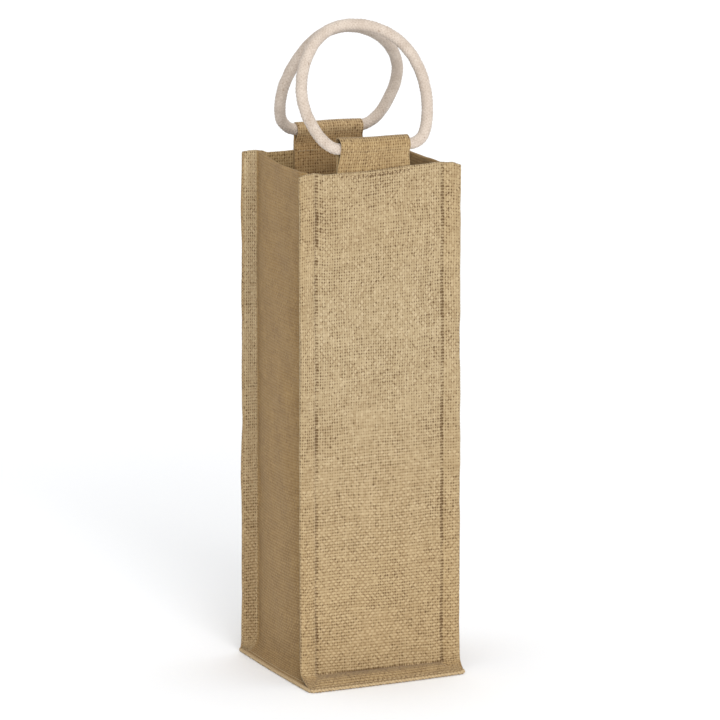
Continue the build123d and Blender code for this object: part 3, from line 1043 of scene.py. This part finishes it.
PLACES = {}
for name, made, seed, face in (
    ("front_panel", panel(-1), 11, 1),
    ("back_panel", panel(1), 12, -1),
    ("left_gusset", gusset(-1), 13, -1),
    ("right_gusset", gusset(1), 14, 1),
):
    place, across, up = made
    PLACES[name] = place
    if "gusset" in name:
        opens, tone, keep = gusset_opening, gusset_painted_shade, ()
    else:
        end, end_side = ("front", -1) if "front" in name else ("back", 1)
        opens = panel_opening(end_side, mm_box(f"{end}_tab_leg").mean(axis=0)[0])
        tone = panel_painted_shade(end_side)
        keep = (-SEAM_X - SEAM_LINE, SEAM_X + SEAM_LINE)
    piece = cloth(
        f"{name}_cloth", place, across, up, seed, side=face, open_at=opens, painted_shade_at=tone, keep=keep
    )
    # The side walls take the jute with the darker, more orange painted shade
    dress(piece, SHADED_SIDE_JUTE if "gusset" in name else JUTE)
    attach(piece, "bag")
    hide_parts(name)

across, up = (-FOOT_X, FOOT_X), (-BASE_HALF, BASE_HALF)
base = cloth("base_panel_cloth", base_place, across, up, 15, side=-1, relief=0.16, shell=0.8)
dress(base, JUTE)
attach(base, "bag")
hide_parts("base_panel")

for end, side, seed in (("front", -1, 16), ("back", 1, 17)):
    leg, loop = f"{end}_tab_leg", f"{end}_tab_loop"
    place, across, up = tab(side, leg, loop)
    PLACES[f"{end}_tab"] = place
    tone = tab_painted_shade(side, up[1])
    piece = cloth(
        f"{end}_tab_cloth", place, across, up, seed, side=-side, relief=0.17, shell=0.9, painted_shade_at=tone
    )
    # The back tab takes the jute with the lighter, warmer painted shade
    dress(piece, JUTE if side < 0 else SHADED_TAB_JUTE)
    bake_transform(piece)
    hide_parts(leg, loop)

# ---------------------------------------------------------------- sewing


def on_cloth(place, s, t, face):
    """A point on a cloth's outer face, the way along each coordinate, and out of it."""
    step = 0.4

    def spot(a, b):
        return place(np.array([[a]]), np.array([[b]]))[0, 0]

    along_s = spot(s + step, t) - spot(s - step, t)
    along_t = spot(s, t + step) - spot(s, t - step)
    along_s = along_s / np.linalg.norm(along_s)
    along_t = along_t / np.linalg.norm(along_t)
    out = np.cross(along_s, along_t) * face
    return spot(s, t), along_s, along_t, out / np.linalg.norm(out)


def stitch(spot, along, out, length, thick, proud):
    """One stitch: a short bowed length of thread whose ends dive into the cloth."""
    shares = np.linspace(-1, 1, 9)
    bow = np.sqrt(np.clip(1 - shares**4, 0, 1))
    points = spot + along * (shares * length / 2)[:, None] + out * (proud * bow - 0.35)[:, None]
    radii = thick / 2 * (0.35 + 0.65 * np.sqrt(np.clip(1 - shares**6, 0, 1)))
    return tube(points, out, np.repeat(radii[:, None], 7, axis=1), 7)


def sewn(name, node, parts):
    """All the stitches of one row as one piece, in place of the CAD's thread."""
    points, faces, count = [], [], 0
    for more_points, more_faces in parts:
        points.append(more_points)
        faces += [[index + count for index in face] for face in more_faces]
        count += len(more_points)
    piece = dress(mesh_object(name, np.vstack(points), faces), THREAD)
    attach(piece, "bag")
    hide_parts(node)


def stitch_row(place, face, s_values, t_values, upright, length=STITCH, proud=0.42):
    """A row of stitches on a cloth, each upright or lying across it."""
    parts = []
    for s, t in zip(s_values, t_values):
        spot, along_s, along_t, out = on_cloth(place, s, t, face)
        parts.append(stitch(spot, along_t if upright else along_s, out, length, 0.75, proud))
    return parts


def side_rows(end, side, hand):
    """Stitches on a stand-up edge: one row on the panel and one on the gusset behind it."""
    panel_face = -side
    reach = PANEL_REACH[side]
    heights = np.arange(12.0, RIM - 3, STITCH_PITCH)
    panel_t = heights - FOLD_Z + reach
    s = np.full(len(heights), hand * (SEAM_X + SEAM_INSET))
    rows = stitch_row(PLACES[f"{end}_panel"], panel_face, s, panel_t, True, proud=-0.25)
    side_name = "left_gusset" if hand < 0 else "right_gusset"
    gusset_face = hand
    s = np.full(len(heights), side * (GUSSET_RUN + 1.6))
    rows += stitch_row(PLACES[side_name], gusset_face, s, heights - FOLD_Z + GUSSET_REACH, True)
    return rows


for end, side in ENDS:
    for hand_name, hand in (("left", -1), ("right", 1)):
        label = f"{end}_{hand_name}_seam"
        sewn(f"{label}_stitches", f"{label}_thread", side_rows(end, side, hand))

for end, side in ENDS:
    low, high = mm_box(f"{end}_tab_thread")
    xs = np.arange(low[0] + 1.2, high[0], TAB_STITCH_PITCH)
    reach = PANEL_REACH[side]
    place = PLACES[f"{end}_panel"]
    panel_t = np.full(len(xs), RIM - TAB_SEAM_DROP - FOLD_Z + reach)
    rows = stitch_row(place, -side, xs, panel_t, False, TAB_STITCH)
    tab_place = PLACES[f"{end}_tab"]
    middle = (low[0] + high[0]) / 2
    far = tab(side, f"{end}_tab_leg", f"{end}_tab_loop")[2][1] - TAB_LEG + TAB_SEAM_DROP
    rows += stitch_row(tab_place, -side, xs - middle, np.full(len(xs), far), False, TAB_STITCH)
    sewn(f"{end}_tab_stitches", f"{end}_tab_thread", rows)


def foot_edge():
    """The outer edge of the foot, once round, from the cloths' own edges."""
    front_s = np.linspace(-CURL_START, CURL_START, 120)
    side_s = np.linspace(-GUSSET_RUN - GUSSET_FLANGE + 1, GUSSET_RUN + GUSSET_FLANGE - 1, 120)
    zero = np.zeros((1, 120))
    front = PLACES["front_panel"](front_s[None], zero)[0]
    right = PLACES["right_gusset"](side_s[None], zero)[0]
    rear = PLACES["back_panel"](front_s[::-1][None], zero)[0]
    left = PLACES["left_gusset"](side_s[::-1][None], zero)[0]
    outline = np.vstack([front, right, rear, left])
    for _ in range(3):
        outline = (np.roll(outline, 1, axis=0) + 2 * outline + np.roll(outline, -1, axis=0)) / 4
    return outline


def even_steps(points, step):
    """Points on a closed line, evenly spaced."""
    ring = np.vstack([points, points[:1]])
    along = np.concatenate([[0], np.cumsum(np.linalg.norm(np.diff(ring, axis=0), axis=1))])
    count = int(along[-1] / step)
    at = np.arange(count) * along[-1] / count
    return np.stack([np.interp(at, along, ring[:, k]) for k in range(3)], axis=1), at


def skirt_rows():
    """Stitches round the foot, a little in from its outer edge."""
    parts = []
    for name, face, limit in (
        ("front_panel", 1, 52),
        ("back_panel", -1, 52),
        ("left_gusset", -1, 50),
        ("right_gusset", 1, 50),
    ):
        s = np.arange(-limit, limit + 0.1, STITCH_PITCH)
        t = np.full(len(s), 4.2 if name != "back_panel" else 3.2)
        parts += stitch_row(PLACES[name], face, s, t, False)
    return parts


sewn("skirt_seam_stitches", "skirt_seam_thread", skirt_rows())

# Rolled edge of the foot: height of its middle, points round it and the lay of its twist
EDGE_Z = 1.4
EDGE_AROUND = 10
EDGE_LAY = 2.5
edge, edge_at = even_steps(foot_edge(), 0.35)
edge[:, 2] = EDGE_Z
turn = np.arange(EDGE_AROUND) / EDGE_AROUND
lay = np.cos(2 * math.pi * (edge_at[:, None] / EDGE_LAY - turn[None, :]))
edge_radii = 1.02 + 0.38 * lay
rings, faces = tube(edge, np.array([0.0, 0.0, 1.0]), edge_radii, EDGE_AROUND, closed=True)
binding = dress(mesh_object("skirt_edge_thread", rings, faces), THREAD)
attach(binding, "bag")
